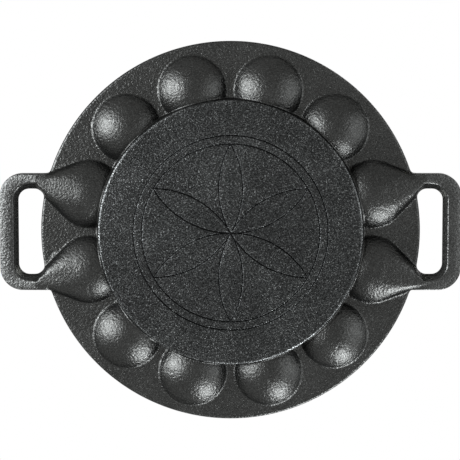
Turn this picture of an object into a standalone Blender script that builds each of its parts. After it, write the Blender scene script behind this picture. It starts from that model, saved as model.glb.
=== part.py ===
"""Poffertjes pan in cast iron: a round plate with a ring of cups round a thick base block that holds seven
more, and two loop handles whose arms run into the neighbouring cups.

Metres, +Z up. The pan stands as it does on a hob: the base block's flat face lies in z = 0, centred on the
origin, the cups open upwards and the handles lie along X. The real pan is one casting. Here each cup of the
ring, the plate, the block and each handle is a solid of its own, divided where the forms meet.
"""

import math

import bmesh
import bpy
from mathutils import Matrix, Vector

# Cups, all alike
CUP_RADIUS = 0.0208  # at the mouth
CUP_DEPTH = 0.012
CUP_WALL = 0.004
LIP_ROUND = 0.0008
RING_CUPS_PER_SIDE = 6  # on each side of the line through the handles
DOME_SPACING = 0.0046  # between neighbouring domes of the ring, where they leave the plate
INNER_CUPS = 6  # round the one in the middle
INNER_LAND = 0.0066  # between the mouths of the inner cups

# Plate and its rim
PLATE_THICKNESS = 0.0045
EDGE_LAND = 0.006  # from the domes to the plate's edge
EDGE_DRAFT = 0.0006
EDGE_ROUND = 0.0012
PARTING_DROP = 0.0015  # from the plate's top down to the widest line of its edge
RIM_HEIGHT = 0.0025
RIM_WIDTH = 0.004
RIM_DRAFT = 0.0006
RIM_ROUND = 0.0008

# Base block
HOB_CLEARANCE = 0.0015  # under the domes
BLOCK_SETBACK = 0.0098  # of the block's edge inside the circle that the ring's cups are centred on
BLOCK_DRAFT = 0.001
BLOCK_ROUND = 0.0018

# Handles
SLOT_WIDTH = 0.0149  # from the plate's edge to the bar
SLOT_LENGTH = 0.0568
SLOT_CORNER = 0.006
BAR_WIDTH = 0.012
ARM_WIDTH = 0.0097
HANDLE_CORNER = 0.0146
HANDLE_DROP = 0.0065  # of its lower face under the plate
HANDLE_CROWN = 0.0005  # of its upper face over the plate
INNER_DRAFT = 0.0026
OUTER_DRAFT = 0.0016
TOP_DRAFT = 0.0008
GRIP_ROUND = 0.002
TOP_ROUND = 0.0008
ROOT_REACH = 0.0025  # of an arm's flared root, past the plate's edge

# Fits
SEAM = 0.0003  # between neighbouring solids
OVERRUN = 0.005  # of a cutting form past the faces that it opens
BITE = 0.0001  # by which a joined form covers the one that it joins

# Facets
RING_FACETS = 72
CUP_FACETS = 24
DOME_STEPS = 4
CORNER_STEPS = 5
ROUND_STEPS = 2
SHARP_ANGLE = math.radians(35)
WELD = 1e-6

# Worked out from the sizes above
RING_CUPS = 2 * RING_CUPS_PER_SIDE
RING_PITCH = 2 * math.pi / RING_CUPS
INNER_PITCH = 2 * math.pi / INNER_CUPS
PLATE_TOP = HOB_CLEARANCE + CUP_WALL + CUP_DEPTH
PLATE_UNDER = PLATE_TOP - PLATE_THICKNESS
PARTING = PLATE_TOP - PARTING_DROP
RIM_TOP = PLATE_TOP + RIM_HEIGHT
CUP_SPHERE = (CUP_RADIUS**2 + CUP_DEPTH**2) / (2 * CUP_DEPTH)
DOME_SPHERE = CUP_SPHERE + CUP_WALL
SPHERE_CENTRE = PLATE_TOP - CUP_DEPTH + CUP_SPHERE
DOME_RADIUS = math.sqrt(DOME_SPHERE**2 - (SPHERE_CENTRE - PLATE_UNDER) ** 2)
RING_RADIUS = (DOME_RADIUS + DOME_SPACING / 2) / math.sin(RING_PITCH / 2)
INNER_RADIUS = (2 * CUP_RADIUS + INNER_LAND) * max(1, 1 / (2 * math.sin(INNER_PITCH / 2)))
PLATE_RADIUS = RING_RADIUS + DOME_RADIUS + EDGE_LAND
BLOCK_RADIUS = RING_RADIUS - BLOCK_SETBACK
BLOCK_FOOT = BLOCK_RADIUS + BLOCK_DRAFT
BAR_INSIDE = PLATE_RADIUS + SLOT_WIDTH
BAR_OUTSIDE = BAR_INSIDE + BAR_WIDTH
ARM_INSIDE = SLOT_LENGTH / 2
ARM_OUTSIDE = ARM_INSIDE + ARM_WIDTH
HANDLE_FACE = PLATE_UNDER - HANDLE_DROP
HANDLE_TOP = PLATE_TOP + HANDLE_CROWN


def arc(centre, radius, start, end, steps):
    """Points of an arc in a plane, with its angles in radians."""
    turn = (end - start) / steps
    angles = [start + i * turn for i in range(steps + 1)]
    return [(centre[0] + radius * math.cos(a), centre[1] + radius * math.sin(a)) for a in angles]


def rounded(corner, before, after, radius, steps=ROUND_STEPS):
    """The points that round a profile's corner, which lies between the points before and after it."""
    here = Vector(corner)
    back = (Vector(before) - here).normalized()
    ahead = (Vector(after) - here).normalized()
    half = back.angle(ahead) / 2
    centre = here + (back + ahead).normalized() * radius / math.sin(half)
    first = here + back * radius / math.tan(half) - centre
    last = here + ahead * radius / math.tan(half) - centre
    sweep = first.angle_signed(last)
    return [tuple(centre + Matrix.Rotation(-sweep * i / steps, 2) @ first) for i in range(steps + 1)]


def iron(name, grey, roughness):
    """Cast iron in a dark, fine-grained finish."""
    material = bpy.data.materials.new(name)
    material.use_nodes = True
    shader = material.node_tree.nodes["Principled BSDF"]
    shader.inputs["Base Color"].default_value = (0.95 * grey, grey, 0.98 * grey, 1.0)
    shader.inputs["Roughness"].default_value = roughness
    shader.inputs["Metallic"].default_value = 0.3
    return material


def shaded(mesh):
    """The mesh, smooth all over but for its edges."""
    mesh.shade_smooth()
    mesh.set_sharp_from_angle(angle=SHARP_ANGLE)
    return mesh


def mesh_of(name, bm):
    """The bmesh as a mesh, with its doubles merged and its faces pointing out."""
    bmesh.ops.remove_doubles(bm, verts=bm.verts, dist=WELD)
    bmesh.ops.recalc_face_normals(bm, faces=bm.faces)
    mesh = bpy.data.meshes.new(name)
    bm.to_mesh(mesh)
    bm.free()
    return shaded(mesh)


def turned(name, profile, facets):
    """A closed profile of (radius, height) points, turned about Z."""
    bm = bmesh.new()
    points = [bm.verts.new((radius, 0, height)) for radius, height in profile]
    edges = [bm.edges.new((points[i - 1], points[i])) for i in range(len(points))]
    about = {"cent": (0, 0, 0), "axis": (0, 0, 1), "angle": 2 * math.pi}
    bmesh.ops.spin(bm, geom=points + edges, steps=facets, use_merge=True, **about)
    loose = [edge for edge in bm.edges if not edge.link_faces]
    bmesh.ops.delete(bm, geom=loose, context="EDGES")
    return mesh_of(name, bm)


def dome_arc(growth=0.0):
    """The outside of a cup from its lowest point to the plate's underside, grown by a clearance."""
    sphere = DOME_SPHERE + growth
    lowest = -math.pi / 2
    return arc((0, SPHERE_CENTRE), sphere, lowest, lowest + math.asin((DOME_RADIUS + growth) / sphere), DOME_STEPS)


def bowl_arc():
    """The inside of a cup from its lowest point up and over its rounded lip."""
    lowest = -math.pi / 2
    bowl = arc((0, SPHERE_CENTRE), CUP_SPHERE, lowest, lowest + math.asin(CUP_RADIUS / CUP_SPHERE), DOME_STEPS)
    lip = rounded(bowl[-1], bowl[-2], (CUP_RADIUS + CUP_WALL, PLATE_TOP), LIP_ROUND)
    return bowl[:-1] + lip


def plain_cup():
    """Dome outside, bowl inside, and a lip that lies flush with the plate."""
    outside = dome_arc() + [(DOME_RADIUS, PLATE_TOP)]
    return turned("cup", outside + bowl_arc()[::-1], CUP_FACETS)


def cup_neck():
    """The part of a cup that stands in the plate's hole, solid, with a cone inside the dome below it."""
    cone_foot = PLATE_UNDER - CUP_WALL
    profile = [(0, cone_foot), (DOME_RADIUS - 2 * CUP_WALL, cone_foot)]
    profile += [(DOME_RADIUS, PLATE_UNDER), (DOME_RADIUS, PLATE_TOP), (0, PLATE_TOP)]
    return turned("cup neck", profile, CUP_FACETS)


def cup_socket():
    """What a cup of the ring takes out of the plate and the block."""
    above = PLATE_TOP + OVERRUN
    profile = dome_arc(SEAM) + [(DOME_RADIUS + SEAM, above), (0, above)]
    return turned("cup socket", profile, CUP_FACETS)


def cup_hollow():
    """What a cup's inside takes out of a solid."""
    above = PLATE_TOP + OVERRUN
    bowl = bowl_arc()
    return turned("cup hollow", bowl + [(bowl[-1][0], above), (0, above)], CUP_FACETS)


def plate_column(name, growth=0.0):
    """The plate's outline as a column through all its height."""
    radius = PLATE_RADIUS + growth
    below, above = -OVERRUN, RIM_TOP + OVERRUN
    return turned(name, [(0, below), (radius, below), (radius, above), (0, above)], RING_FACETS)


def ring_of_plate():
    """The plate outside the block, with the rim that stands round its top."""
    inside_top, inside_under = (BLOCK_FOOT + SEAM, PLATE_TOP), (BLOCK_FOOT + SEAM, PLATE_UNDER)
    edge_under, edge = (PLATE_RADIUS - EDGE_DRAFT, PLATE_UNDER), (PLATE_RADIUS, PARTING)
    rim_outside = (PLATE_RADIUS - RIM_DRAFT, RIM_TOP)
    rim_inside = (PLATE_RADIUS - RIM_WIDTH, RIM_TOP)
    rim_foot = (PLATE_RADIUS - RIM_WIDTH - RIM_DRAFT, PLATE_TOP)
    profile = [inside_top, inside_under]
    profile += rounded(edge_under, inside_under, edge, EDGE_ROUND)
    profile += [edge]
    profile += rounded(rim_outside, edge, rim_inside, RIM_ROUND)
    profile += rounded(rim_inside, rim_outside, rim_foot, RIM_ROUND)
    profile += [rim_foot]
    return turned("griddle_plate", profile, RING_FACETS)


def solid_block():
    """The base block before its cups are sunk, with a small fillet round its face."""
    face, foot = (BLOCK_RADIUS, 0), (BLOCK_FOOT, PLATE_UNDER)
    profile = [(0, 0)] + rounded(face, (0, 0), foot, BLOCK_ROUND) + [foot, (BLOCK_FOOT, PLATE_TOP), (0, PLATE_TOP)]
    return turned("base_block", profile, RING_FACETS)


def grip_section(width):
    """Section of a handle's bar or arm: the distance from its inner side, and the height, of each point.

    It is widest at the parting line and drawn in by the mould's draft above and below it.
    """
    corners = [
        (0, PARTING, 0),
        (INNER_DRAFT, HANDLE_FACE, GRIP_ROUND),
        (width - OUTER_DRAFT, HANDLE_FACE, GRIP_ROUND),
        (width, PARTING, 0),
        (width - TOP_DRAFT, HANDLE_TOP, TOP_ROUND),
        (TOP_DRAFT, HANDLE_TOP, TOP_ROUND),
    ]
    points = []
    for i, (across, height, radius) in enumerate(corners):
        before, after = corners[i - 1][:2], corners[(i + 1) % len(corners)][:2]
        points += rounded((across, height), before, after, radius) if radius else [(across, height)]
    return points


def standing_section(inner, outer):
    """The section that stands between an inner and an outer point of a handle's plan."""
    inner, outer = Vector(inner), Vector(outer)
    across = (outer - inner).normalized()
    section = grip_section((outer - inner).length)
    return [Vector((*(inner + across * distance), height)) for distance, height in section]


def grip_plan():
    """Inner and outer points of a handle's plan, in pairs from one arm's root round the bar to the other's."""
    root = math.sqrt(PLATE_RADIUS**2 - ARM_OUTSIDE**2) - OVERRUN
    slot = (BAR_INSIDE - SLOT_CORNER, ARM_INSIDE - SLOT_CORNER)
    corner = (BAR_OUTSIDE - HANDLE_CORNER, ARM_OUTSIDE - HANDLE_CORNER)
    inner = [(root, ARM_INSIDE)] + arc(slot, SLOT_CORNER, math.pi / 2, 0, CORNER_STEPS)
    outer = [(root, ARM_OUTSIDE)] + arc(corner, HANDLE_CORNER, math.pi / 2, 0, CORNER_STEPS)
    half = list(zip(inner, outer))
    return half + [((a[0], -a[1]), (b[0], -b[1])) for a, b in reversed(half)]


def grip_loop(name):
    """A handle's arms and bar, lofted through its sections and capped at the roots."""
    bm = bmesh.new()
    rings = [[bm.verts.new(point) for point in standing_section(*pair)] for pair in grip_plan()]
    for ring, following in zip(rings, rings[1:]):
        for i in range(len(ring)):
            bm.faces.new((ring[i - 1], ring[i], following[i], following[i - 1]))
    bm.faces.new(rings[0])
    bm.faces.new(rings[-1])
    return mesh_of(name, bm)


def flare(name, angle, top):
    """The tapering form that carries a handle's arm into a cup's dome: the hull of both, cut off flat at top."""
    place = ring_place(angle)
    side, half = math.copysign(1, place.x), math.copysign(1, place.y)
    root = PLATE_RADIUS + ROOT_REACH
    arm = standing_section((root, ARM_INSIDE + BITE), (root, ARM_OUTSIDE - BITE))
    points = [Vector((side * point.x, half * point.y, point.z + BITE)) for point in arm]
    for radius, height in dome_arc() + [(DOME_RADIUS, top)]:
        for i in range(CUP_FACETS):
            turn = Matrix.Rotation(2 * math.pi * i / CUP_FACETS + angle, 3, "Z")
            points.append(place + turn @ Vector((radius, 0, height)))
    bm = bmesh.new()
    for point in points:
        bm.verts.new((point.x, point.y, min(point.z, top)))
    bmesh.ops.remove_doubles(bm, verts=bm.verts, dist=WELD)
    hull = bmesh.ops.convex_hull(bm, input=bm.verts)
    unused = {item for item in hull["geom_interior"] if isinstance(item, bmesh.types.BMVert)}
    bmesh.ops.delete(bm, geom=list(unused), context="VERTS")
    return mesh_of(name, bm)


def ring_place(angle):
    return Vector((RING_RADIUS * math.cos(angle), RING_RADIUS * math.sin(angle), 0))


def ring_cups():
    """Name and angle of each cup of the ring."""
    return [(f"ring_cup_{i + 1:02d}", (i + 0.5) * RING_PITCH) for i in range(RING_CUPS)]


def beside_handle(angle):
    """Whether a cup of the ring is one of the two at either handle."""
    return abs(math.sin(angle)) < math.sin(RING_PITCH)


def inner_places():
    """Centres of the inner cups, the middle one first."""
    turns = [Matrix.Rotation(i * INNER_PITCH, 3, "Z") for i in range(INNER_CUPS)]
    return [Vector((0, 0, 0))] + [turn @ Vector((INNER_RADIUS, 0, 0)) for turn in turns]


class Pan:
    """Makes the pan's solids. The forms that cut and join them are cleared away at the end."""

    def __init__(self):
        self.tools = bpy.data.collections.new("forms that cut and join")
        self.solids = bpy.data.collections.new("pan")
        for collection in (self.tools, self.solids):
            bpy.context.scene.collection.children.link(collection)
        self.plate_iron = iron("plate iron", 0.044, 0.62)
        self.block_iron = iron("block iron", 0.042, 0.6)
        self.cup_iron = iron("cup iron", 0.043, 0.5)
        self.handle_iron = iron("handle iron", 0.048, 0.58)

    def solid(self, name, mesh, material, place=(0, 0, 0), angle=0.0):
        obj = bpy.data.objects.new(name, mesh)
        obj.location = place
        obj.rotation_euler.z = angle
        if not mesh.materials:
            mesh.materials.append(material)
        self.solids.objects.link(obj)
        return obj

    def tool(self, name, mesh, place=(0, 0, 0), angle=0.0):
        obj = bpy.data.objects.new(name, mesh)
        obj.location = place
        obj.rotation_euler.z = angle
        obj.hide_render = True
        obj.display_type = "WIRE"
        self.tools.objects.link(obj)
        return obj

    def tool_group(self, name, mesh, places):
        """Copies of one form in a collection of their own, so that one Boolean takes them all."""
        group = bpy.data.collections.new(name)
        self.tools.children.link(group)
        for i, (place, angle) in enumerate(places):
            copy = self.tool(f"{name} {i + 1}", mesh, place, angle)
            self.tools.objects.unlink(copy)
            group.objects.link(copy)
        return group

    def boolean(self, obj, operation, other):
        modifier = obj.modifiers.new(f"{operation.lower()} {other.name}", "BOOLEAN")
        modifier.operation = operation
        modifier.solver = "EXACT"
        if isinstance(other, bpy.types.Collection):
            modifier.operand_type = "COLLECTION"
            modifier.collection = other
        else:
            modifier.object = other

    def plate_and_block(self, hollow):
        """Both are cut by the sockets of the ring's cups, and the block by the inner cups too."""
        socket_places = [(ring_place(angle), angle) for _, angle in ring_cups()]
        sockets = self.tool_group("socket", cup_socket(), socket_places)
        inner_cups = self.tool_group("inner cup", hollow, [(place, 0.0) for place in inner_places()])
        plate = self.solid("griddle_plate", ring_of_plate(), self.plate_iron)
        self.boolean(plate, "DIFFERENCE", sockets)
        block = self.solid("base_block", solid_block(), self.block_iron)
        self.boolean(block, "DIFFERENCE", sockets)
        self.boolean(block, "DIFFERENCE", inner_cups)

    def cups(self, hollow):
        """The ring. A cup beside a handle has a dome that flares into the handle's arm."""
        plain, neck = plain_cup(), cup_neck()
        within_plate = self.tool("plate outline", plate_column("plate outline"))
        for name, angle in ring_cups():
            place = ring_place(angle)
            if not beside_handle(angle):
                self.solid(name, plain, self.cup_iron, place, angle)
                continue
            cup = self.solid(name, flare(name, angle, PLATE_UNDER - SEAM), self.cup_iron)
            self.boolean(cup, "UNION", self.tool(f"{name} neck", neck, place, angle))
            self.boolean(cup, "DIFFERENCE", self.tool(f"{name} hollow", hollow, place, angle))
            self.boolean(cup, "INTERSECT", within_plate)

    def handles(self):
        """Two loops with flared roots, each ending a seam short of the plate's edge."""
        plate_clearance = self.tool("plate clearance", plate_column("plate clearance", SEAM))
        for name, side in (("right_handle", 1), ("left_handle", -1)):
            handle = self.solid(name, grip_loop(name), self.handle_iron, angle=math.pi * (side < 0))
            for cup_name, angle in ring_cups():
                if beside_handle(angle) and side * math.cos(angle) > 0:
                    root = flare(f"root at {cup_name}", angle, PLATE_TOP)
                    self.boolean(handle, "UNION", self.tool(root.name, root))
            self.boolean(handle, "DIFFERENCE", plate_clearance)

    def settle(self):
        """Keeps each solid as its Booleans leave it, marks its edges and clears the cutting forms away."""
        bpy.context.view_layer.update()
        graph = bpy.context.evaluated_depsgraph_get()
        cut = [obj for obj in self.solids.objects if obj.modifiers]
        results = [bpy.data.meshes.new_from_object(obj.evaluated_get(graph)) for obj in cut]
        for obj, mesh in zip(cut, results):
            obj.modifiers.clear()
            obj.data = shaded(mesh)
            mesh.name = obj.name
        for obj in list(self.tools.all_objects):
            bpy.data.objects.remove(obj)
        for group in list(self.tools.children) + [self.tools]:
            bpy.data.collections.remove(group)

    def build(self):
        hollow = cup_hollow()
        self.plate_and_block(hollow)
        self.cups(hollow)
        self.handles()
        self.settle()


for startup_object in list(bpy.data.objects):
    bpy.data.objects.remove(startup_object)
Pan().build()
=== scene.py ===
import math

import bpy
import numpy as np
from mathutils import Matrix, Vector, kdtree
from mathutils.geometry import delaunay_2d_cdt


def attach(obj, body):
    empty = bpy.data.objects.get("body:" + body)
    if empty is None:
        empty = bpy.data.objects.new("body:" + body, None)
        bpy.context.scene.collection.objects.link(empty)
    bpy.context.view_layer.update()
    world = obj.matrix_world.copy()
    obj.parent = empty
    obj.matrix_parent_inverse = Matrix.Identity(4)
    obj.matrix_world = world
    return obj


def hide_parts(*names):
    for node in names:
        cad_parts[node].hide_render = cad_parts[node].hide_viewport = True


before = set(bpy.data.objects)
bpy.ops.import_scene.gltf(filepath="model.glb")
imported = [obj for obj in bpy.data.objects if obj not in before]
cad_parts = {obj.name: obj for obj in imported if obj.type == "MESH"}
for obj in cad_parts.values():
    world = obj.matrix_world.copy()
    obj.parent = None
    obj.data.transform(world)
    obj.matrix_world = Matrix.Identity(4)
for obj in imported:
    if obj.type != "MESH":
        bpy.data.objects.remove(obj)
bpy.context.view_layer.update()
print("stage: frame loaded")


# Nodes, for the form as for the finish

class Wire:
    # one output of a node, with the arithmetic that adds Math nodes behind it

    def __init__(self, sheet, socket):
        self.sheet = sheet
        self.socket = socket

    def __add__(self, other):
        return self.sheet.maths("ADD", self, other)

    def __radd__(self, other):
        return self.sheet.maths("ADD", other, self)

    def __sub__(self, other):
        return self.sheet.maths("SUBTRACT", self, other)

    def __rsub__(self, other):
        return self.sheet.maths("SUBTRACT", other, self)

    def __mul__(self, other):
        return self.sheet.maths("MULTIPLY", self, other)

    def __rmul__(self, other):
        return self.sheet.maths("MULTIPLY", other, self)

    def __truediv__(self, other):
        return self.sheet.maths("DIVIDE", self, other)

    def __abs__(self):
        return self.sheet.maths("ABSOLUTE", self)

    def root(self):
        return self.sheet.maths("SQRT", self)

    def least(self, other, blend=0.0):
        return self.sheet.maths("SMOOTH_MIN", self, other, blend)

    def most(self, other, blend=0.0):
        return self.sheet.maths("SMOOTH_MAX", self, other, blend)

    def within(self, low, high):
        return self.least(high).most(low)

    def eased(self):
        part = self.within(0, 1)
        return part * part * (3 - 2 * part)

    def other(self, name):
        return Wire(self.sheet, self.socket.node.outputs[name])


class Sheet:
    # a node tree, with one method that adds any node: its settings first, then its sockets

    def __init__(self, tree):
        self.tree = tree

    def add(self, kind, settings, sockets, output=0):
        node = self.tree.nodes.new(kind)
        for name, value in settings.items():
            if name == "stops":
                ramp = node.color_ramp
                while len(ramp.elements) < len(value):
                    ramp.elements.new(1)
                for element, (place, colour) in zip(ramp.elements, value):
                    element.position = place
                    element.color = colour
            else:
                setattr(node, name, value)
        for name, value in sockets.items():
            if isinstance(value, Wire):
                self.tree.links.new(value.socket, node.inputs[name])
            else:
                node.inputs[name].default_value = value
        return Wire(self, node.outputs[output]) if node.outputs else None

    def maths(self, operation, *values):
        return self.add("ShaderNodeMath", {"operation": operation}, dict(enumerate(values)))

    def stored(self, name):
        kind = "GeometryNodeInputNamedAttribute"
        return self.add(kind, {"data_type": "FLOAT"}, {"Name": name})

    def noise(self, place, scale, detail, roughness=0.5):
        sockets = {"Vector": place, "Scale": scale, "Detail": detail, "Roughness": roughness}
        return self.add("ShaderNodeTexNoise", {}, sockets)


# The casting's sizes, in metres: a user may change these

casting = {
    "plateRadius": 0.12497,
    "plateUnder": 0.013,
    "plateTop": 0.0175,
    "parting": 0.016,  # the widest line of every edge
    "rimTop": 0.01998,
    "rimOutside": 0.1244,
    "rimFoot": 0.1204,
    "ringRadius": 0.09633,  # on which the twelve cups of the ring are centred
    "innerRadius": 0.0482,
    "domeRadius": 0.0226,
    "cupSphere": 0.02403,
    "domeSphere": 0.02803,
    "sphereCentre": 0.02953,
    "blockRadius": 0.0865,
    "handleFace": 0.0065,
    "handleFall": 0.17,  # how steeply an arm's face slopes up towards the bar
    "barFall": 0.14,  # and the bar's face, outwards
    "crownRise": 0.0003,  # of a handle's face, towards its two edges
    "handleTop": 0.018,
    "grooveWidth": 0.0011,  # a groove has sloping shoulders and a steep core
    "grooveCore": 0.0004,
    "shoulderSlope": 0.6,
    "coreSlope": 2.4,
    "rosette": 0.058,
    "outerLine": 0.0635,
}
outline = {
    "barInside": 0.1397,
    "barOutside": 0.15185,
    "armInside": 0.0282,
    "armOutside": 0.0385,
    "slotCorner": 0.0072,
    "handleCorner": 0.0152,
    "innerDraft": 0.46,  # how steep the slot's walls are beside the outline's other walls
    "outerDraft": 4.0,
    "filletReach": 0.0035,
    "flareFillet": 0.003,
    "flareEnd": 0.1275,  # where a flare runs out on its arm, and its two sides there
    "flareInside": 0.0299,
    "flareOutside": 0.0352,
}
meshing = {
    "blockSeam": 0.0842,  # where the skin is divided into pieces
    "blockSeamTop": 0.07225,
    "handleSeam": 0.1265,
    "edgeStep": 0.0011,
    "edgeGap": 0.00005,
    "outlineRays": 7200,
    "raySteps": 260,
    "seamFacets": 420,
}

cupTurn = math.radians(15)
domeX = casting["ringRadius"] * math.cos(cupTurn)
domeY = casting["ringRadius"] * math.sin(cupTurn)
armMiddle = (outline["armInside"] + outline["armOutside"]) / 2
flareMiddle = (outline["flareInside"] + outline["flareOutside"]) / 2


# The outline in plan

def blendMost(a, b, reach):
    near = np.maximum(reach - np.abs(a - b), 0) / reach
    return np.maximum(a, b) + near**3 * reach / 6


def insideBox(x, y, halfX, halfY, corner):
    # how far inside a box with round corners each point lies, negative outside
    overX, overY = x - (halfX - corner), y - (halfY - corner)
    outside = np.hypot(np.maximum(overX, 0), np.maximum(overY, 0))
    return corner - outside - np.minimum(np.maximum(overX, overY), 0)


def armDepths(x, y):
    x, y = np.abs(x), np.abs(y)
    outer = insideBox(x, y, outline["barOutside"], outline["armOutside"], outline["handleCorner"])
    slot = -insideBox(x, y, outline["barInside"], outline["armInside"], outline["slotCorner"])
    return outer * outline["outerDraft"], slot * outline["innerDraft"]


def armDepth(x, y):
    return np.minimum(*armDepths(x, y))


def flareDepth(x, y):
    # inside the tangents from an arm to the dome of the cup beside it
    x, y = np.abs(x), np.abs(y)
    depth = outline["flareEnd"] - x
    for side, flareY in ((-1, outline["flareInside"]), (1, outline["flareOutside"])):
        reach = math.hypot(outline["flareEnd"] - domeX, flareY - domeY)
        turn = math.atan2(flareY - domeY, outline["flareEnd"] - domeX)
        turn += side * math.acos(casting["domeRadius"] / reach)
        across = (x - domeX) * math.cos(turn) + (y - domeY) * math.sin(turn)
        depth = np.minimum(depth, casting["domeRadius"] - across)
    return depth


def planDepth(x, y):
    depth = blendMost(casting["plateRadius"] - np.hypot(x, y), armDepth(x, y), outline["filletReach"])
    return blendMost(depth, flareDepth(x, y), outline["flareFillet"])


def evenly(points, step):
    # a closed run of points, set out again at even steps
    closed = np.vstack([points, points[:1]])
    run = np.concatenate([[0], np.cumsum(np.hypot(*np.diff(closed, axis=0).T))])
    places = np.linspace(0, run[-1], int(round(run[-1] / step)) + 1)[:-1]
    return np.column_stack([np.interp(places, run, closed[:, i]) for i in (0, 1)])


def traced(centre, start, end, step):
    # the outline met along rays from a centre, walking from start to end
    turns = np.linspace(0, 2 * math.pi, meshing["outlineRays"], endpoint=False)
    rays = np.column_stack([np.cos(turns), np.sin(turns)])
    radii = np.linspace(start, end, meshing["raySteps"])
    spots = centre + radii[None, :, None] * rays[:, None, :]
    first = (planDepth(spots[..., 0], spots[..., 1]) > 0).argmax(1)
    outside, inside = radii[first - 1].copy(), radii[first].copy()
    for _ in range(30):
        middle = (outside + inside) / 2
        spots = centre + middle[:, None] * rays
        solid = planDepth(spots[:, 0], spots[:, 1]) > 0
        inside = np.where(solid, middle, inside)
        outside = np.where(solid, outside, middle)
    return evenly(centre + inside[:, None] * rays, step)


def crossing(outsideY, insideY):
    # where the outline crosses the line that divides a handle from the plate
    for _ in range(40):
        middle = (outsideY + insideY) / 2
        if planDepth(np.array(meshing["handleSeam"]), np.array(middle)) > 0:
            insideY = middle
        else:
            outsideY = middle
    return insideY


def outlineLoops():
    # the outer outline and the two slots, each with a point where a handle is divided from the plate
    farOut, insidePlate = 0.17, 0.118
    slotMiddle, beyondSlot = np.array([0.1324, 0.0]), 0.045
    outer = traced(np.zeros(2), farOut, insidePlate, meshing["edgeStep"])
    rightSlot = traced(slotMiddle, 0.0, beyondSlot, 0.8 * meshing["edgeStep"])
    loops = [outer, rightSlot, rightSlot * [-1, 1]]
    inSlot, besideArm = 0.02, 0.05
    slotY, edgeY = crossing(inSlot, armMiddle), crossing(besideArm, armMiddle)
    ends = []
    for side in (-1, 1):
        for half in (-1, 1):
            pair = []
            for loop, y in ((loops[1] if side > 0 else loops[2], slotY), (outer, edgeY)):
                spot = np.array([side * meshing["handleSeam"], half * y])
                loop[np.hypot(*(loop - spot).T).argmin()] = spot
                pair.append(spot)
            ends.append(pair)
    return loops, ends


# The plan's points

mm = 0.001


def ringAt(centre, radius, step, most=400):
    count = max(6, min(most, int(round(2 * math.pi * radius / step))))
    turns = (np.arange(count) + 0.5) * 2 * math.pi / count
    return centre + radius * np.column_stack([np.cos(turns), np.sin(turns)])


def honeycomb(halfX, halfY, step):
    x = np.arange(-halfX, halfX, step)
    y = np.arange(-halfY, halfY, step * 0.866)
    gridX, gridY = np.meshgrid(x, y)
    gridX = gridX + step / 2 * (np.arange(len(y)) % 2)[:, None]
    return np.column_stack([gridX.ravel(), gridY.ravel()])


def inward(loop, distance):
    # a closed run of the outline, moved into the iron
    small = 1e-6
    slope = np.column_stack([
        planDepth(loop[:, 0] + small, loop[:, 1]) - planDepth(loop[:, 0] - small, loop[:, 1]),
        planDepth(loop[:, 0], loop[:, 1] + small) - planDepth(loop[:, 0], loop[:, 1] - small),
    ])
    return loop + distance * slope / np.linalg.norm(slope, axis=1)[:, None]


def thinned(points, kept, gap):
    # drops points that lie in the same small cell or close to a point that is kept already
    points = points[np.sort(np.unique(np.floor(points / gap), axis=0, return_index=True)[1])]
    tree = kdtree.KDTree(len(kept))
    for i, (x, y) in enumerate(kept):
        tree.insert((x, y, 0), i)
    tree.balance()
    far = [tree.find((x, y, 0))[2] > gap for x, y in points]
    return points[np.array(far, bool)]


def settled(fixed, families):
    # the fixed points, then each family that still finds room
    points = fixed
    for family, gap in families:
        family = family[planDepth(family[:, 0], family[:, 1]) > meshing["edgeGap"]]
        points = np.vstack([points, thinned(family, points, gap)])
    return points


def triangles(points, edges):
    result = delaunay_2d_cdt([Vector((float(x), float(y))) for x, y in points], edges, [], 0, 1e-8, True)
    corners = np.array([[result[3][i][0] for i in face] for face in result[2]])
    middles = points[corners].mean(1)
    corners = corners[planDepth(middles[:, 0], middles[:, 1]) > 0]
    a, b, c = (points[corners[:, i]] for i in range(3))
    turned = (b - a)[:, 0] * (c - a)[:, 1] - (b - a)[:, 1] * (c - a)[:, 0] < 0
    corners[turned] = corners[turned][:, ::-1]
    return corners


def around(radius, degrees):
    turn = math.radians(degrees)
    return radius * np.array([math.cos(turn), math.sin(turn)])


def cupPlaces():
    # the ring's twelve cups, and the seven over the block
    ring = [around(casting["ringRadius"], 30 * i + 15) for i in range(12)]
    inner = [around(casting["innerRadius"], 60 * i) for i in range(6)]
    return ring, [np.zeros(2)] + inner


def grooveLines():
    # a six-petalled rosette in two rings, drawn with compasses
    radius = casting["rosette"]
    lines = []
    turns = np.linspace(-math.pi / 3, math.pi / 3, 120)
    for i in range(6):
        middle = 60 * i + 30
        lines.append((around(radius, middle), radius, math.radians(middle) + math.pi + turns))
    whole = np.linspace(0, 2 * math.pi, 380, endpoint=False)
    lines.append((np.zeros(2), radius, whole))
    lines.append((np.zeros(2), casting["outerLine"], whole))
    return lines


def groovePoints():
    half = casting["grooveWidth"] / 2
    across = np.array([0, 0.18, 0.36, 0.47, 0.65, 0.87, 1.0, 1.13]) * half
    across = np.concatenate([across, -across[1:]])
    rows = []
    for shift in across:
        for centre, radius, turns in grooveLines():
            rows.append(centre + (radius + shift) * np.column_stack([np.cos(turns), np.sin(turns)]))
    return np.vstack(rows)


def seamRing(radius):
    turns = np.arange(meshing["seamFacets"]) * 2 * math.pi / meshing["seamFacets"]
    return radius * np.column_stack([np.cos(turns), np.sin(turns)])


def seamRows(ends, steps=20):
    # across each arm, from the slot's side to the outer side, with the ends left out
    part = (1 - np.cos(math.pi * np.arange(1, steps) / steps)) / 2
    return [slot + part[:, None] * (edge - slot) for slot, edge in ends]


def near(points, low, high):
    radius = np.hypot(points[:, 0], points[:, 1])
    return points[(radius >= low) & (radius <= high)]


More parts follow.
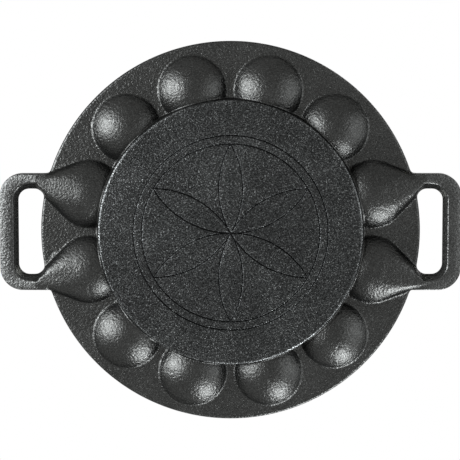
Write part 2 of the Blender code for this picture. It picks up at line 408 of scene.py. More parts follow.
def lowerFamilies(loops):
    # rows of points along everything that bends on the lower side, each with the room that it needs
    ringPlaces, _ = cupPlaces()
    for offset in (0.1, 0.22, 0.36, 0.52, 0.7, 0.9, 1.15, 1.45, 1.8, 2.25, 2.8, 3.5, 4.3):
        rows = np.vstack([inward(loop, offset * mm) for loop in loops])
        if offset > 2:
            rows = rows[np.abs(rows[:, 0]) > 0.118]
        yield rows, 0.00012 if offset < 1 else 0.0003
    blockWall = (
        84.8, 85.15, 85.5, 85.8, 86.05, 86.27, 86.45, 86.58, 86.68, 86.78, 86.88, 87.0,
        87.12, 87.25, 87.38, 87.5, 87.62, 87.75, 87.9, 88.1, 88.4, 88.8, 89.3,
    )
    for radius in blockWall:
        yield ringAt(np.zeros(2), radius * mm, 0.00125, 440), 0.00009
    yield near(groovePoints(), 0, 0.083), 0.00004
    for offset in (3.3, 3.6, 3.85, 4.05, 4.25, 4.45, 4.7, 5.0, 5.4):
        rows = np.vstack([inward(loop, offset * mm) for loop in loops[1:]])
        yield rows[np.abs(rows[:, 0]) > 0.1235], 0.00015
    domeRings = (
        22.6, 22.2, 23.0, 21.7, 23.5, 21.1, 24.2, 20.3, 19.2, 17.9, 16.4, 14.8, 13.1,
        11.3, 9.4, 7.4, 5.3, 3.1, 1.0,
    )
    for radius in domeRings:
        rows = [ringAt(place, radius * mm, 0.00125 if radius > 20 else 0.0016) for place in ringPlaces]
        yield near(np.vstack(rows), 0.0896, 0.126), 0.00042
    along, across = np.meshgrid(np.arange(0.004, 0.046, 0.0011), np.linspace(-1.06, 1.06, 27))
    for sideX in (-1, 1):
        for sideY in (-1, 1):
            spots = flareSpots(along.ravel(), across.ravel()) * [sideX, sideY]
            yield near(spots, 0.0896, 0.14), 0.0006
    yield near(honeycomb(0.152, 0.126, 0.0019), 0.0894, 0.16), 0.0011
    yield near(honeycomb(0.085, 0.085, 0.0034), 0, 0.0842), 0.0014


def upperFamilies(loops):
    # the same for the upper side, with its rim and its bowls
    ringPlaces, innerPlaces = cupPlaces()
    for offset in (0.09, 0.18, 0.27, 0.36, 0.46, 0.58, 0.72, 0.9, 1.15, 1.5, 2.0, 2.7):
        rows = np.vstack([inward(loop, offset * mm) for loop in loops])
        yield rows, 0.00008 if offset < 0.9 else 0.0002
    for radius in (124.6, 124.9, 125.2, 125.6, 126.1):
        rows = ringAt(np.zeros(2), radius * mm, 0.0011, 900)
        yield rows[np.abs(rows[:, 1]) < 0.05], 0.00012
    rimRings = (
        119.2, 119.7, 120.0, 120.2, 120.36, 120.5, 120.64, 120.78, 120.92, 121.08, 121.3, 121.7,
        122.4, 123.2,
    )
    for radius in rimRings:
        yield ringAt(np.zeros(2), radius * mm, 0.0014, 520), 0.00011
    bowlRings = (
        20.8, 20.6, 21.0, 20.4, 21.2, 20.1, 21.6, 19.6, 18.9, 17.9, 16.6, 15.1, 13.5,
        11.8, 10.0, 8.1, 6.1, 4.0, 1.9,
    )
    for radius in bowlRings:
        step = 0.00125 if radius > 19 else 0.0018
        rows = [ringAt(place, radius * mm, step) for place in ringPlaces + innerPlaces]
        yield np.vstack(rows), 0.00013
    yield honeycomb(0.152, 0.126, 0.0029), 0.0016


def flareSpots(along, across):
    # places on a flare, from the distance along its axis and the share of its half width
    run, rise = outline["flareEnd"] - domeX, flareMiddle - domeY
    reach = math.hypot(run, rise)
    half = flareHalf(along)
    x = domeX + (along * run - across * half * rise) / reach
    y = domeY + (along * rise + across * half * run) / reach
    return np.column_stack([x, y])


flareReach = math.hypot(outline["flareEnd"] - domeX, flareMiddle - domeY)
flareTip = (outline["flareOutside"] - outline["flareInside"]) / 2
flareSine = (casting["domeRadius"] - flareTip) / flareReach
flareCosine = math.sqrt(1 - flareSine**2)
flareStart = casting["domeRadius"] * flareSine


def flareHalf(along):
    taper = (casting["domeRadius"] - along * flareSine) / flareCosine
    circle = np.sqrt(np.maximum(casting["domeRadius"] ** 2 - along**2, 0))
    return np.where(along > flareStart, np.maximum(taper, 0.0005), circle)


def loopEdges(loops):
    edges, start = [], 0
    for loop in loops:
        count = len(loop)
        edges += [(start + i, start + (i + 1) % count) for i in range(count)]
        start += count
    return edges, start


def rowIndexes(points, row):
    # where the row's points are among the plan's points
    return [int(np.hypot(*(points - spot).T).argmin()) for spot in row]


def plannedSide(loops, ends, seamRadius, familiesOf):
    # one side's points and triangles, with the outline's points first and the seams kept as edges
    edges, outlineCount = loopEdges(loops)
    ring = seamRing(seamRadius)
    rows = seamRows(ends)
    fixed = np.vstack(loops + [ring] + rows)
    ringStart = outlineCount
    count = len(ring)
    edges += [(ringStart + i, ringStart + (i + 1) % count) for i in range(count)]
    seams = []
    start = ringStart + count
    for row, (slot, edge) in zip(rows, ends):
        seam = rowIndexes(fixed[:outlineCount], [slot])
        seam += list(range(start, start + len(row)))
        seam += rowIndexes(fixed[:outlineCount], [edge])
        edges += list(zip(seam, seam[1:]))
        seams.append(seam)
        start += len(row)
    points = settled(fixed, familiesOf(loops))
    return points, triangles(points, edges), ringStart, seams


print("stage: plan")
loops, ends = outlineLoops()
lowerPlan = plannedSide(loops, ends, meshing["blockSeam"], lowerFamilies)
lower, lowerFaces, lowerRing, lowerSeams = lowerPlan
upperPlan = plannedSide(loops, ends, meshing["blockSeamTop"], upperFamilies)
upper, upperFaces, upperRing, upperSeams = upperPlan
outlineCount = sum(len(loop) for loop in loops)
print("lower", len(lower), len(lowerFaces), "upper", len(upper), len(upperFaces))


# The form: a tree that lifts every point of the plan to its height

fillets = {
    "edgeSlope": 5.0,  # of the walls along the outline
    "edgeRound": 0.0012,
    "edgeGrowth": 0.0005 / 0.0065,  # the edge gets rounder where the iron is thicker
    "edgeLeast": 0.0011,
    "edgeMost": 0.0028,
    "slotRound": 0.0005,
    "armRound": 0.002,
    "armFoot": 0.0028,
    "armRoot": 0.121,  # nearer the middle, an arm sinks into the plate
    "armSink": 0.8,
    "barStart": 0.1375,  # where an arm's face turns into the bar's
    "barBlend": 0.0006,
    "domeFoot": 0.0009,
    "blockSlope": 13.0,
    "blockEdge": 0.0018,
    "blockFoot": 0.0013,
    "blockBlend": 0.00015,
    "grooveEdge": 0.00004,
    "rimSlope": 4.17,
    "rimRound": 0.0012,
    "rimFillet": 0.0009,
    "lipRound": 0.0008,
    "outerSlope": 6.67,
    "handleSlopeDrop": 4.0,  # a handle's upper walls are less steep, its outer ones least
    "outerSideDrop": 0.7,
    "stepStart": 0.1225,  # from the plate's top to the handles'
    "stepReach": 0.002,
    "handleStart": 0.1252,
    "handleReach": 0.001,
}
flare = {
    "ridgeStart": 0.00413,  # along the axis, from the dome's centre
    "ridgeDepth": 0.01119,
    "ridgeRise": 1.2,
    "ridgeFall": 0.1495,
    "tailStart": 0.0355,
    "tailFall": 0.55,
    "ramp": 0.2,  # how far the arched section leans towards straight flanks
    "rampReach": 0.01,
    "fullness": 1.5,  # how much fuller the arch gets towards the tip
}


def shoulder(depth, flat, start, slope, rounding):
    # a wall that falls from the parting line and rounds into a flat face
    lean = math.atan(slope)
    corner = (start - flat) / slope
    bend = (corner + rounding * math.tan(lean / 2) - depth).most(0).least(rounding * math.sin(lean))
    wall = (corner - rounding * (math.tan(lean / 2) * math.cos(lean)) - depth).most(0)
    return flat + rounding - (rounding * rounding - bend * bend).root() + slope * wall


def sphereUnder(away, sphere, centre):
    # the lower half of a sphere, by the distance from its axis
    return centre - (sphere * sphere - away * away).most(1e-9).root()


def underside(sheet, size, x, y, radius, turn):
    sideX, sideY = abs(x), abs(y)
    fromCup = sheet.maths("WRAP", turn, math.radians(30), 0.0) - math.radians(15)
    alongCup = radius * sheet.maths("COSINE", fromCup) - size["ringRadius"]
    acrossCup = radius * sheet.maths("SINE", fromCup)
    fromDome = (alongCup * alongCup + acrossCup * acrossCup).root()
    dome = sphereUnder(fromDome, size["domeSphere"], size["sphereCentre"])
    floor = size["plateUnder"].least(dome, fillets["domeFoot"])

    run, rise = (outline["flareEnd"] - domeX) / flareReach, (flareMiddle - domeY) / flareReach
    along = (sideX - domeX) * run + (sideY - domeY) * rise
    across = abs((sideY - domeY) * run - (sideX - domeX) * rise)
    taper = ((casting["domeRadius"] - along * flareSine) / flareCosine).most(0.0005)
    arched = (casting["domeRadius"] ** 2 - along * along).most(1e-8).root()
    half = arched + sheet.maths("GREATER_THAN", along, flareStart) * (taper - arched)
    bend = casting["domeSphere"] / casting["domeRadius"]
    flatPart = math.sqrt(bend**2 - 1)
    share = (across / half).least(1)
    share = sheet.maths("POWER", share, 1 + flare["fullness"] * (along / flareReach).eased())
    arc = ((bend**2 - share * share).root() - flatPart) / (bend - flatPart)
    # the ramp bends over the middle half of the flare and is straight beside it
    outerShare = (share - 0.5).most(0)
    ramp = 1 - (share * share - outerShare * outerShare) / 0.75
    section = arc + flare["ramp"] * (along / flare["rampReach"]).eased() * (ramp - arc)
    fromStart = along - flare["ridgeStart"]
    ridge = flare["ridgeDepth"] - flare["ridgeFall"] * fromStart
    ridge = ridge.least(flare["ridgeDepth"] + flare["ridgeRise"] * fromStart)
    tail = flare["tailFall"] * (along - flare["tailStart"])
    ridge = ridge.least(size["plateUnder"] - size["handleFace"] - tail)
    floor = floor.least(size["plateUnder"] - ridge.most(0) * section, fillets["domeFoot"])

    armInset = sheet.stored("armInset")
    faceShare = sheet.stored("faceShare")
    crown = size["crownRise"] * faceShare * faceShare
    rise = size["handleFall"] * (sideX - outline["flareEnd"]).most(0)
    slacker = (size["handleFall"] - size["barFall"]) * (sideX - fillets["barStart"])
    rise = rise.least(rise - slacker, fillets["barBlend"])
    face = size["handleFace"] + crown + rise
    edgeSlope = fillets["edgeSlope"]
    arm = shoulder(armInset, face, size["parting"], edgeSlope, fillets["armRound"])
    arm = arm + fillets["armSink"] * (fillets["armRoot"] - sideX).most(0)
    floor = floor.least(arm, fillets["armFoot"])

    depth = sheet.stored("depth")
    rounding = fillets["edgeRound"] + (size["plateUnder"] - floor) * fillets["edgeGrowth"]
    slotSide = sheet.stored("slotSide")
    rounding = rounding.most(fillets["edgeLeast"]).least(fillets["edgeMost"])
    rounding = rounding + slotSide * (fillets["slotRound"] - rounding)
    skin = shoulder(depth, floor, size["parting"], edgeSlope, rounding)

    blockSlope, blockEdge = fillets["blockSlope"], fillets["blockEdge"]
    blockFoot = fillets["blockFoot"]
    lean = math.atan(blockSlope)
    past = radius - size["blockRadius"]
    edgeBend = (past + blockEdge * math.tan(lean / 2)).most(0).least(blockEdge * math.sin(lean))
    edgeWall = (past - blockEdge * math.tan(lean / 2) * math.cos(lean)).most(0)
    block = blockEdge - (blockEdge**2 - edgeBend * edgeBend).root() + blockSlope * edgeWall
    fromWall = past - skin / blockSlope
    footBend = (blockFoot * math.tan(lean / 2) - fromWall).most(0).least(blockFoot * math.sin(lean))
    skin = skin - blockFoot + (blockFoot**2 - footBend * footBend).root()
    return block.least(skin, fillets["blockBlend"]) + engraving(sheet, size, radius, turn)


def fromLine(sheet, size, radius, turn):
    # the distance from the rosette's lines: each folds onto one arc, and two rings go round it
    folded = abs(sheet.maths("WRAP", turn, math.radians(60), 0.0) - math.radians(30))
    petalX = radius * sheet.maths("COSINE", folded) - 0.5 * size["rosette"]
    petalY = radius * sheet.maths("SINE", folded) + math.sqrt(0.75) * size["rosette"]
    petal = abs((petalX * petalX + petalY * petalY).root() - size["rosette"])
    petal = petal + (radius - size["rosette"]).most(0)
    return petal.least(abs(radius - size["rosette"])).least(abs(radius - size["outerLine"]))


def engraving(sheet, size, radius, turn):
    line = fromLine(sheet, size, radius, turn)
    shoulderCut = size["shoulderSlope"] * (0.5 * size["grooveWidth"] - line)
    coreCut = 0.5 * size["shoulderSlope"] * (size["grooveWidth"] - size["grooveCore"])
    coreCut = coreCut + size["coreSlope"] * (0.5 * size["grooveCore"] - line)
    return shoulderCut.most(coreCut).most(0, fillets["grooveEdge"])


def upperSide(sheet, size, radius, turn):
    fromCup = sheet.maths("WRAP", turn, math.radians(30), 0.0) - math.radians(15)
    alongCup = radius * sheet.maths("COSINE", fromCup) - size["ringRadius"]
    acrossCup = radius * sheet.maths("SINE", fromCup)
    fromRing = (alongCup * alongCup + acrossCup * acrossCup).root()
    fromInner = sheet.maths("WRAP", turn, math.radians(30), math.radians(-30))
    alongInner = radius * sheet.maths("COSINE", fromInner) - size["innerRadius"]
    acrossInner = radius * sheet.maths("SINE", fromInner)
    fromNext = (alongInner * alongInner + acrossInner * acrossInner).root()
    away = fromRing.least(fromNext).least(radius)
    bowl = sphereUnder(away, size["cupSphere"], size["sphereCentre"])

    step = size["handleTop"] - size["plateTop"]
    base = size["plateTop"] + step * ((radius - fillets["stepStart"]) / fillets["stepReach"]).eased()
    inside = size["plateTop"] + fillets["rimSlope"] * (radius - size["rimFoot"])
    outside = size["rimTop"] - fillets["outerSlope"] * (radius - size["rimOutside"])
    rimRound = fillets["rimRound"]
    rim = inside.least(size["rimTop"].least(outside, rimRound), rimRound)
    top = base.most(rim, fillets["rimFillet"]).least(bowl, fillets["lipRound"])

    depth = sheet.stored("depth")
    onHandle = ((radius - fillets["handleStart"]) / fillets["handleReach"]).eased()
    outerSide = sheet.stored("outerSide")
    edgeSlope = fillets["outerSlope"] - fillets["handleSlopeDrop"] * onHandle
    edge = size["parting"] + edgeSlope * depth * (1 - fillets["outerSideDrop"] * outerSide)
    return sheet.maths("SMOOTH_MIN", top, edge, fillets["edgeRound"] * onHandle)


def castingTree(iron):
    tree = bpy.data.node_groups.new("castingForm", "GeometryNodeTree")
    tree.interface.new_socket(name="Plan", in_out="INPUT", socket_type="NodeSocketGeometry")
    tree.interface.new_socket(name="Geometry", in_out="OUTPUT", socket_type="NodeSocketGeometry")
    for name, value in casting.items():
        tree.interface.new_socket(name=name, in_out="INPUT", socket_type="NodeSocketFloat")
    sheet = Sheet(tree)
    plan = sheet.add("NodeGroupInput", {}, {}, "Plan")
    size = {name: plan.other(name) for name in casting}
    place = sheet.add("GeometryNodeInputPosition", {}, {})
    x = sheet.add("ShaderNodeSeparateXYZ", {}, {0: place})
    y = x.other("Y")
    radius = (x * x + y * y).root()
    turn = sheet.maths("ARCTAN2", y, x)
    isUpper = sheet.stored("isUpper")
    low = underside(sheet, size, x, y, radius, turn)
    high = upperSide(sheet, size, radius, turn)
    height = low + isUpper * (high - low)
    lifted = sheet.add("ShaderNodeCombineXYZ", {}, {"X": x, "Y": y, "Z": height})
    shaped = sheet.add("GeometryNodeSetPosition", {}, {"Geometry": plan, "Position": lifted})
    real = sheet.add("GeometryNodeRealizeInstances", {}, {"Geometry": shaped})
    finished = sheet.add("GeometryNodeSetMaterial", {}, {"Geometry": real, "Material": iron})
    sheet.add("NodeGroupOutput", {}, {0: finished})
    return tree


def ramped(values, start, reach):
    # from 0 at the start to 1 behind it
    return np.clip((values - start) / reach, 0, 1)


handleShares = {
    "wallsStart": 0.1235,  # an arm's own walls count up to this radius, and the outline's behind it
    "wallsReach": 0.0025,
    "wallsInset": 0.003,
    "sidesStart": 0.1245,
    "sidesReach": 0.003,
    "sideBlend": 0.001,
    "crownSlope": 1.5,
    "crownMiddle": 0.5,
}


def planMesh():
    # both sides of the plan in one flat mesh, joined along the outline
    points = np.vstack([lower, upper[outlineCount:]])
    shift = len(lower) - outlineCount
    upperCorners = np.where(upperFaces < outlineCount, upperFaces, upperFaces + shift)
    faces = np.vstack([lowerFaces[:, ::-1], upperCorners])
    mesh = bpy.data.meshes.new("castingPlan")
    mesh.from_pydata(np.column_stack([points, np.zeros(len(points))]).tolist(), [], faces.tolist())
    depth = planDepth(points[:, 0], points[:, 1])
    depth[:outlineCount] = 0
    radius = np.hypot(points[:, 0], points[:, 1])
    reach = ramped(radius, handleShares["wallsStart"], handleShares["wallsReach"])
    inset = handleShares["wallsInset"] * reach * reach * (3 - 2 * reach)
    inset = armDepth(points[:, 0], points[:, 1]) + inset
    isUpper = np.arange(len(points)) >= len(lower)
    outer, slot = armDepths(points[:, 0], points[:, 1])
    onArm = ramped(radius, handleShares["sidesStart"], handleShares["sidesReach"])
    blend = handleShares["sideBlend"]
    fromOuter = np.maximum(outer, 0) / outline["outerDraft"]
    fromSlot = np.maximum(slot, 0) / outline["innerDraft"]
    # across a handle's face, for its crown
    share = (fromOuter - fromSlot) / (fromOuter + fromSlot + 1e-6)
    share = share * handleShares["crownSlope"] + handleShares["crownMiddle"]
    stored = {
        "depth": depth,
        "armInset": inset,
        "isUpper": isUpper,
        "slotSide": ramped(outer, slot, blend) * onArm,
        "outerSide": ramped(slot, outer, blend) * onArm,
        "faceShare": np.clip(share, -1, 1.3),
    }
    for name, values in stored.items():
        attribute = mesh.attributes.new(name, "FLOAT", "POINT")
        attribute.data.foreach_set("value", values.astype(np.float32))
    return mesh, faces, shift


def formed(iron):
    # the whole skin of the casting, as a plain mesh
    mesh, faces, shift = planMesh()
    holder = bpy.data.objects.new("castingForm", mesh)
    bpy.context.scene.collection.objects.link(holder)
    modifier = holder.modifiers.new("castingForm", "NODES")
    modifier.node_group = castingTree(iron)
    for item in modifier.node_group.interface.items_tree:
        if item.in_out == "INPUT" and item.name in casting:
            modifier[item.identifier] = casting[item.name]
    bpy.context.view_layer.update()
    graph = bpy.context.evaluated_depsgraph_get()
    skin = bpy.data.meshes.new_from_object(holder.evaluated_get(graph))
    bpy.data.objects.remove(holder)
    skin.shade_smooth()
    places = np.zeros(len(skin.vertices) * 3, np.float32)
    skin.vertices.foreach_get("co", places)
    normals = np.zeros(len(skin.vertices) * 3, np.float32)
    skin.vertex_normals.foreach_get("vector", normals)
    bpy.data.meshes.remove(skin)
    return places.reshape(-1, 3), normals.reshape(-1, 3), faces, shift


# The pieces: the skin is divided at its seams, and each part is closed inside the iron

def strip(first, second, turnedRound=False):
    # triangles between two runs of points that may share their ends
    faces = []
    for i in range(len(first) - 1):
        corners = [first[i], first[i + 1], second[i + 1], second[i]]
        for face in ((corners[0], corners[1], corners[2]), (corners[0], corners[2], corners[3])):
            if len(set(face)) == 3:
                faces.append(face[::-1] if turnedRound else face)
    return faces


wear = {
    "leastBend": 90,  # in radians to a metre: a skin that bends less isn't rubbed
    "bendRange": 220,
    "grooveDepth": 0.001,
    "grooveRadius": 0.08,
}


def edgeWear(places, normals, faces):
    # from 0 where the skin is flat or hollow to 1 along its outward edges, other than the grooves'
    edges = np.vstack([faces[:, [0, 1]], faces[:, [1, 2]], faces[:, [2, 0]]])
    first, last = np.unique(np.sort(edges, axis=1), axis=0).T
    step = places[last] - places[first]
    bend = ((normals[last] - normals[first]) * step).sum(1) / (step**2).sum(1)
    count = np.bincount(first, minlength=len(places)) + np.bincount(last, minlength=len(places))
    worn = np.zeros(len(places))
    for _ in range(2):
        total = np.bincount(first, bend, len(places)) + np.bincount(last, bend, len(places))
        worn = total / np.maximum(count, 1)
        bend = (worn[first] + worn[last]) / 2
    engraved = np.hypot(places[:, 0], places[:, 1]) < wear["grooveRadius"]
    engraved = engraved & (places[:, 2] < wear["grooveDepth"])
    return np.where(engraved, 0, ramped(worn, wear["leastBend"], wear["bendRange"]))


def pieceObject(name, skin, faces, iron, nodes):
    places, normals, worn = skin
    used, corners = np.unique(np.array(faces).ravel(), return_inverse=True)
    mesh = bpy.data.meshes.new(name)
    mesh.from_pydata(places[used].tolist(), [], corners.reshape(-1, 3).tolist())
    mesh.materials.append(iron)
    mesh.shade_smooth()
    mesh.normals_split_custom_set_from_vertices(normals[used].tolist())
    attribute = mesh.attributes.new("wear", "FLOAT", "POINT")
    attribute.data.foreach_set("value", worn[used].astype(np.float32))
    piece = bpy.data.objects.new(name, mesh)
    bpy.context.scene.collection.objects.link(piece)
    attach(piece, "root")
    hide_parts(*nodes)
    print("piece", name, len(mesh.vertices), len(mesh.polygons))


def makePieces(plateIron, blockIron, handleIron):
    places, normals, faces, shift = formed(plateIron)
    skin = places, normals, edgeWear(places, normals, faces)
    middles = places[faces].mean(1)
    radius = np.hypot(middles[:, 0], middles[:, 1])
    lowFaces = np.arange(len(faces)) < len(lowerFaces)
    inBlock = np.where(lowFaces, radius < meshing["blockSeam"], radius < meshing["blockSeamTop"])
    inRight = middles[:, 0] > meshing["handleSeam"]
    inLeft = middles[:, 0] < -meshing["handleSeam"]
    inPlate = ~(inBlock | inRight | inLeft)

    count = meshing["seamFacets"]
    lowRing = [lowerRing + i % count for i in range(count + 1)]
    highRing = [upperRing + shift + i % count for i in range(count + 1)]
    blockWall = strip(lowRing, highRing)
    rightWalls, leftWalls = [], []
    for i, (low, high) in enumerate(zip(lowerSeams, upperSeams)):
        high = [k if k < outlineCount else k + shift for k in high]
        onRight, onUpperHalf = i >= 2, i % 2 == 1
        walls = rightWalls if onRight else leftWalls
        walls.extend(strip(low, high, onRight == onUpperHalf))
    plateWalls = [face[::-1] for face in blockWall + rightWalls + leftWalls]
    cups = [f"ring_cup_{i:02d}" for i in range(1, 13)]
    plateNodes = ["griddle_plate"] + cups
    plateFaces = faces[inPlate].tolist() + plateWalls
    blockFaces = faces[inBlock].tolist() + blockWall
    rightFaces = faces[inRight].tolist() + rightWalls
    leftFaces = faces[inLeft].tolist() + leftWalls
    pieceObject("plateAndCups", skin, plateFaces, plateIron, plateNodes)
    pieceObject("hobBlock", skin, blockFaces, blockIron, ["base_block"])
    pieceObject("rightLoop", skin, rightFaces, handleIron, ["right_handle"])
    pieceObject("leftLoop", skin, leftFaces, handleIron, ["left_handle"])


# Cast iron: a sandy grain over a slow unevenness, rubbed a little lighter along its edges

lookPlaces = {
    "faceHeight": 0.001,  # where the block's own look fades out, above its face and beside it
    "faceReach": 0.0015,
    "besideReach": 0.0008,
    # a loop's lighter colour, which is painted light, lies below about this height
    "loopHeight": 0.011,  # and a loop's own look
    "loopFade": 0.003,
    "loopReach": 0.007,
    "calmHeight": 0.0105,  # the domes and the floors of the bowls lie below it
    "calmReach": 0.002,
}


def ironColour(sheet, tone, look):
    colours = [(*look[name], 1) for name in ("dark", "light", "spark")]
    stops = list(zip(look["stops"], colours))
    return sheet.add("ShaderNodeValToRGB", {"stops": stops}, {"Fac": tone.within(0, 1)})


def castIron(name, look, special, engraved):
    # one look, which turns into a special one under the block or under a handle's loop
    material = bpy.data.materials.new(name)
    material.use_nodes = True
    tree = material.node_tree
    sheet = Sheet(tree)
    shader = tree.nodes["Principled BSDF"]
    spot = sheet.add("ShaderNodeTexCoord", {}, {}, "Object")
    # turned, so that no flat face lies along the noise's own grid
    place = sheet.add("ShaderNodeMapping", {}, {"Vector": spot, "Rotation": (0.5, 0.3, 0.2)})
    x = sheet.add("ShaderNodeSeparateXYZ", {}, {0: spot})
    y, height = x.other("Y"), x.other("Z")
    radius = (x * x + y * y).root()
    at = lookPlaces
    if engraved:
        there = (1 - (height - at["faceHeight"]) / at["faceReach"]).eased()
        there = there * (1 - (radius - casting["blockRadius"]) / at["besideReach"]).eased()
    else:
        # the loops' undersides, where the lighter colour is painted light
        there = ((abs(x) - meshing["handleSeam"]) / at["loopReach"]).eased()
        there = there * (1 - (height - at["loopHeight"]) / at["loopFade"]).eased()

    def value(key):
        return look[key] + (special[key] - look[key]) * there

    grit = sheet.noise(place, look["gritScale"], 3.0, 0.6)
    fine = sheet.noise(place, look["fineScale"], 1.0)
    pebble = sheet.noise(place, look["pebbleScale"], 1.0)
    swell = sheet.noise(place, look["swellScale"], 2.0)
    clouds = sheet.noise(place, look["cloudScale"], 3.0, 0.55)
    # painted glints: random bright flecks in the colour, standing in for grains that catch the light
    paintedGlints = sheet.noise(place, look["sparkScale"], 1.0)
    paintedGlints = ((paintedGlints - look["sparkLevel"]) * look["sparkContrast"]).within(0, 1)
    # the domes and the bowls are smoother than the plate and the block's face
    flat = ((height - at["calmHeight"]) / at["calmReach"]).eased()
    if engraved:
        flat = flat.most(there)
    calm = look["calm"] + (1 - look["calm"]) * flat
    grit = 0.5 + (grit - 0.5) * calm
    pebble = 0.5 + (pebble - 0.5) * calm
    worn = sheet.add("ShaderNodeAttribute", {"attribute_name": "wear"}, {}, "Fac")
    worn = worn * (0.5 + look["wearPatches"] * (clouds - 0.5)).within(0, 1)
    tone = look["tone"] + look["gritTone"] * (grit - 0.5) + look["fineTone"] * (fine - 0.5)
    tone = tone + look["cloudTone"] * (clouds - 0.5) + look["paintedGlintTone"] * paintedGlints
    tone = tone + value("wearTone") * worn
    relief = value("gritHeight") * grit + look["fineHeight"] * fine
    relief = relief + value("pebbleHeight") * pebble + look["swellHeight"] * swell
    if engraved:
        # painted shade in the grooves: their colour is darkened where shade falls, and their grain is
        # also filled a little
        line = fromLine(sheet, casting, radius, sheet.maths("ARCTAN2", y, x))
        grooveShade = (1 - (line - special["grooveShadeReach"]) / special["grooveShadeEdge"]).eased() * there
        tone = tone * (1 - special["grooveShadeTone"] * grooveShade)
        relief = relief * (1 - special["grooveShadeFill"] * grooveShade)
    plain, changed = ironColour(sheet, tone, look), ironColour(sheet, tone, special)
    mixed = {0: there, 6: plain, 7: changed}
    colour = sheet.add("ShaderNodeMix", {"data_type": "RGBA"}, mixed, 2)
    tree.links.new(colour.socket, shader.inputs["Base Color"])
    roughness = value("roughness") + look["cloudRough"] * (clouds - 0.5)
    roughness = roughness - look["gritPolish"] * (grit - 0.5) - look["wearPolish"] * worn
    tree.links.new(roughness.within(0.2, 0.9).socket, shader.inputs["Roughness"])
    bump = sheet.add("ShaderNodeBump", {}, {"Height": relief, "Strength": 1.0, "Distance": 1.0})
    tree.links.new(bump.socket, shader.inputs["Normal"])
    shader.inputs["Metallic"].default_value = look["metal"]
    shader.inputs["Specular IOR Level"].default_value = 0.0
    shader.inputs["Specular Tint"].default_value = (look["edgeShine"],) * 3 + (1,)
    return material


plateLook = {
    "dark": (0.0174, 0.0175, 0.0168),
    "light": (0.038, 0.0386, 0.037),
    # the colour of the painted glints
    "spark": (0.0613, 0.0624, 0.0597),
    "stops": (0.15, 0.65, 0.95),
    "metal": 0.88,
    "edgeShine": 0.3,
    "tone": 0.42,
    "roughness": 0.29,
    "gritScale": 1050.0,
    "gritHeight": 0.00022,
    "gritTone": 1.7,
    "gritPolish": 0.35,
    "fineScale": 2300.0,
    "fineHeight": 0.00005,
    "fineTone": 1.0,
    "pebbleScale": 620.0,
    "pebbleHeight": 0.0004,
    # where the painted glints lie, and how many there are
    "sparkScale": 1500.0,
    "sparkLevel": 0.58,
    "sparkContrast": 9,
    "paintedGlintTone": 0.4,
    "swellScale": 130.0,
    "swellHeight": 0.0001,
    "cloudScale": 34.0,
    "cloudTone": 0.25,
    "cloudRough": 0.2,
    "calm": 0.8,
    "wearTone": 0.3,
    "wearPatches": 2.5,
    "wearPolish": 0.04,
}
blockLook = {
    **plateLook,
    "dark": (0.007, 0.0072, 0.0071),
    "light": (0.0322, 0.0334, 0.0329),
    # brighter painted glints on the block's face
    "spark": (0.15, 0.156, 0.1537),
    "roughness": 0.26,
    "gritHeight": 0.00034,
    "pebbleHeight": 0.0001,
    # painted shade in the grooves, and how much of their grain is filled
    "grooveShadeReach": 0.00025,
    "grooveShadeEdge": 0.00014,
    "grooveShadeTone": 0.9,
    "grooveShadeFill": 0.7,
}
# painted light: the loops' undersides get a lighter colour than the plate, so that the handles look
# brightly lit; their roughness and grain are the iron's own
handleLookPaintedLight = {
    **plateLook,
    "light": (0.055, 0.056, 0.054),
    "spark": (0.078, 0.0795, 0.0766),
    "roughness": 0.27,
    "gritHeight": 0.00018,
    "pebbleHeight": 0.00035,
    "wearTone": 0.06,
}

print("stage: casting")
makePieces(
    castIron("plateIron", plateLook, blockLook, True),
    castIron("blockIron", plateLook, blockLook, True),
    castIron("handleIron", plateLook, handleLookPaintedLight, False),
)


# The studio

studio = {
    "distance": 1.1,
    "tilt": 4.5,
    "lens": 131.16,
    "middle": (0.00037, 0.00131, 0.010),
    "ambient": 0.1,
    "cool": (0.96, 0.985, 1.02),  # the lamps below
    "plain": (1.0, 1.0, 1.0),
    "floorSize": 3.0,
    "floorDrop": 0.0006,
    "fadeStart": 0.24,  # from the middle of the pan
    "fadeReach": 0.3,
}


def softBox(name, place, width, height, power, colour):
    light = bpy.data.lights.new(name, "AREA")
    light.shape = "RECTANGLE"
    light.size = width
    light.size_y = height
    light.energy = power
    light.color = colour
    lamp = bpy.data.objects.new(name, light)
    lamp.location = place
    lamp.rotation_euler = (-Vector(place)).to_track_quat("-Z", "Y").to_euler()
    bpy.context.scene.collection.objects.link(lamp)


def makeCamera():
    target = Vector(studio["middle"])
    tilt = math.radians(studio["tilt"])
    data = bpy.data.cameras.new("camera")
    data.lens = studio["lens"]
    data.sensor_width = 36
    data.clip_start = 0.05
    camera = bpy.data.objects.new("camera", data)
    camera.location = target + studio["distance"] * Vector((0, math.sin(tilt), -math.cos(tilt)))
    look = (target - camera.location).normalized()
    right = Vector((-1, 0, 0))
    camera.rotation_euler = Matrix((right, right.cross(look), -look)).transposed().to_euler()
    bpy.context.scene.collection.objects.link(camera)
    bpy.context.scene.camera = camera


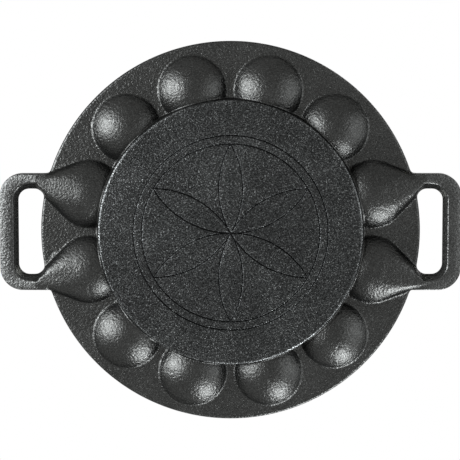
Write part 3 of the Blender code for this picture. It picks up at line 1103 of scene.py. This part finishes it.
def makeFloor():
    # pale beside the pan, white further away, and not there at all when seen from below
    mesh = bpy.data.meshes.new("floor")
    size, drop = studio["floorSize"], studio["floorDrop"]
    signs = ((-1, -1), (1, -1), (1, 1), (-1, 1))
    corners = [(size * signX, size * signY, -drop) for signX, signY in signs]
    mesh.from_pydata(corners, [], [(0, 1, 2, 3)])
    floor = bpy.data.objects.new("floor", mesh)
    bpy.context.scene.collection.objects.link(floor)
    material = bpy.data.materials.new("paleFloor")
    material.use_nodes = True
    sheet = Sheet(material.node_tree)
    shader = material.node_tree.nodes["Principled BSDF"]
    shader.inputs["Base Color"].default_value = (0.86, 0.86, 0.86, 1)
    shader.inputs["Roughness"].default_value = 0.9
    spot = sheet.add("ShaderNodeTexCoord", {}, {}, "Object")
    away = sheet.add("ShaderNodeVectorMath", {"operation": "LENGTH"}, {0: spot}, "Value")
    rays = sheet.add("ShaderNodeLightPath", {}, {}, "Is Camera Ray")
    white = sheet.add("ShaderNodeEmission", {}, {"Color": (1, 1, 1, 1), "Strength": 1.0})
    fade = ((away - studio["fadeStart"]) / studio["fadeReach"]).eased() * rays
    pale = Wire(sheet, shader.outputs[0])
    faded = sheet.add("ShaderNodeMixShader", {}, {0: fade, 1: pale, 2: white})
    under = sheet.add("ShaderNodeNewGeometry", {}, {}, "Backfacing")
    clear = sheet.add("ShaderNodeBsdfTransparent", {}, {})
    mixed = sheet.add("ShaderNodeMixShader", {}, {0: under, 1: faded, 2: clear})
    surface = material.node_tree.nodes["Material Output"].inputs["Surface"]
    material.node_tree.links.new(mixed.socket, surface)
    mesh.materials.append(material)
    floor.visible_diffuse = False
    floor.visible_glossy = False
    floor.visible_transmission = False
    floor.visible_shadow = False


def makeWorld():
    world = bpy.data.worlds.new("studio")
    bpy.context.scene.world = world
    world.use_nodes = True
    sheet = Sheet(world.node_tree)
    rays = sheet.add("ShaderNodeLightPath", {}, {}, "Is Camera Ray")
    shown = rays.most(rays.other("Is Glossy Ray")).most(rays.other("Is Transmission Ray"))
    strength = studio["ambient"] + (1 - studio["ambient"]) * shown
    background = world.node_tree.nodes["Background"]
    background.inputs["Color"].default_value = (1, 1, 1, 1)
    world.node_tree.links.new(strength.socket, background.inputs["Strength"])


print("stage: studio")
makeCamera()
makeFloor()
makeWorld()
softBox("keyBelow", (0.85, 0.19, -0.48), 0.65, 0.95, 34, studio["cool"])
softBox("keyCore", (0.84, 0.19, -0.49), 0.3, 0.4, 5, studio["cool"])
softBox("fillBelow", (-0.42, -0.87, -0.26), 0.38, 0.62, 25, studio["cool"])
softBox("rimBelow", (-0.93, 0.0, -0.4), 1.0, 1.0, 9, studio["cool"])
softBox("keyAbove", (-0.6, 0.5, 0.9), 0.7, 0.7, 14, studio["plain"])
softBox("fillAbove", (0.7, -0.6, 0.8), 0.7, 0.7, 10, studio["plain"])
bpy.context.scene.view_settings.view_transform = "Standard"
